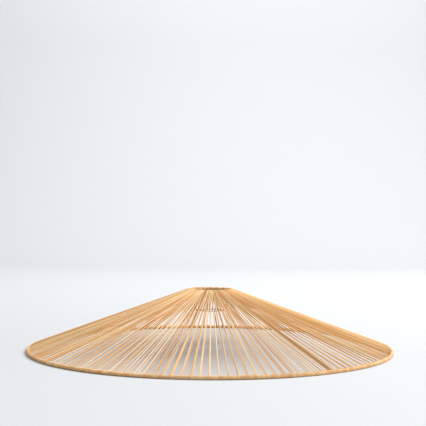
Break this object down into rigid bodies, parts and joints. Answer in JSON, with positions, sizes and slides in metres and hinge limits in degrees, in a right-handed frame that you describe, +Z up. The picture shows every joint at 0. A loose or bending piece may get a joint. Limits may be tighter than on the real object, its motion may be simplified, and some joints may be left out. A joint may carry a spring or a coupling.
{
  "type": "pendant lampshade",
  "caption": "Wide, shallow conical pendant lampshade of natural cord wound over a painted wire frame, with a dropped fitter ring.",
  "frame": {"origin": "middle of the plane that the rim rests on", "axes": "+Z up along the shade's axis, from the rim to the top ring; -Y is the side seen from the front"},
  "size_m": [0.7992, 0.7992, 0.134],
  "materials": {
    "frame": "ochre to bronze-brown satin paint on steel wire",
    "cord": "matt twisted paper-and-jute cord in natural honey brown"
  },
  "bodies": {
    "root": {"bottom_ring": "frame", "top_ring": "frame", "rib_1": "frame", "rib_2": "frame", "rib_3": "frame", "rib_4": "frame", "rib_5": "frame", "rib_6": "frame", "rib_7": "frame", "rib_8": "frame", "fitter_arm_1": "frame", "fitter_arm_2": "frame", "fitter_arm_3": "frame", "fitter_arm_4": "frame", "fitter_ring": "frame", "cord_section_1": "cord", "cord_section_2": "cord", "cord_section_3": "cord", "cord_section_4": "cord", "cord_section_5": "cord", "cord_section_6": "cord", "cord_section_7": "cord", "cord_section_8": "cord", "cord_section_9": "cord", "cord_section_10": "cord", "cord_section_11": "cord", "cord_section_12": "cord", "cord_section_13": "cord", "cord_section_14": "cord", "cord_section_15": "cord", "cord_section_16": "cord"}
  },
  "joints": []
}
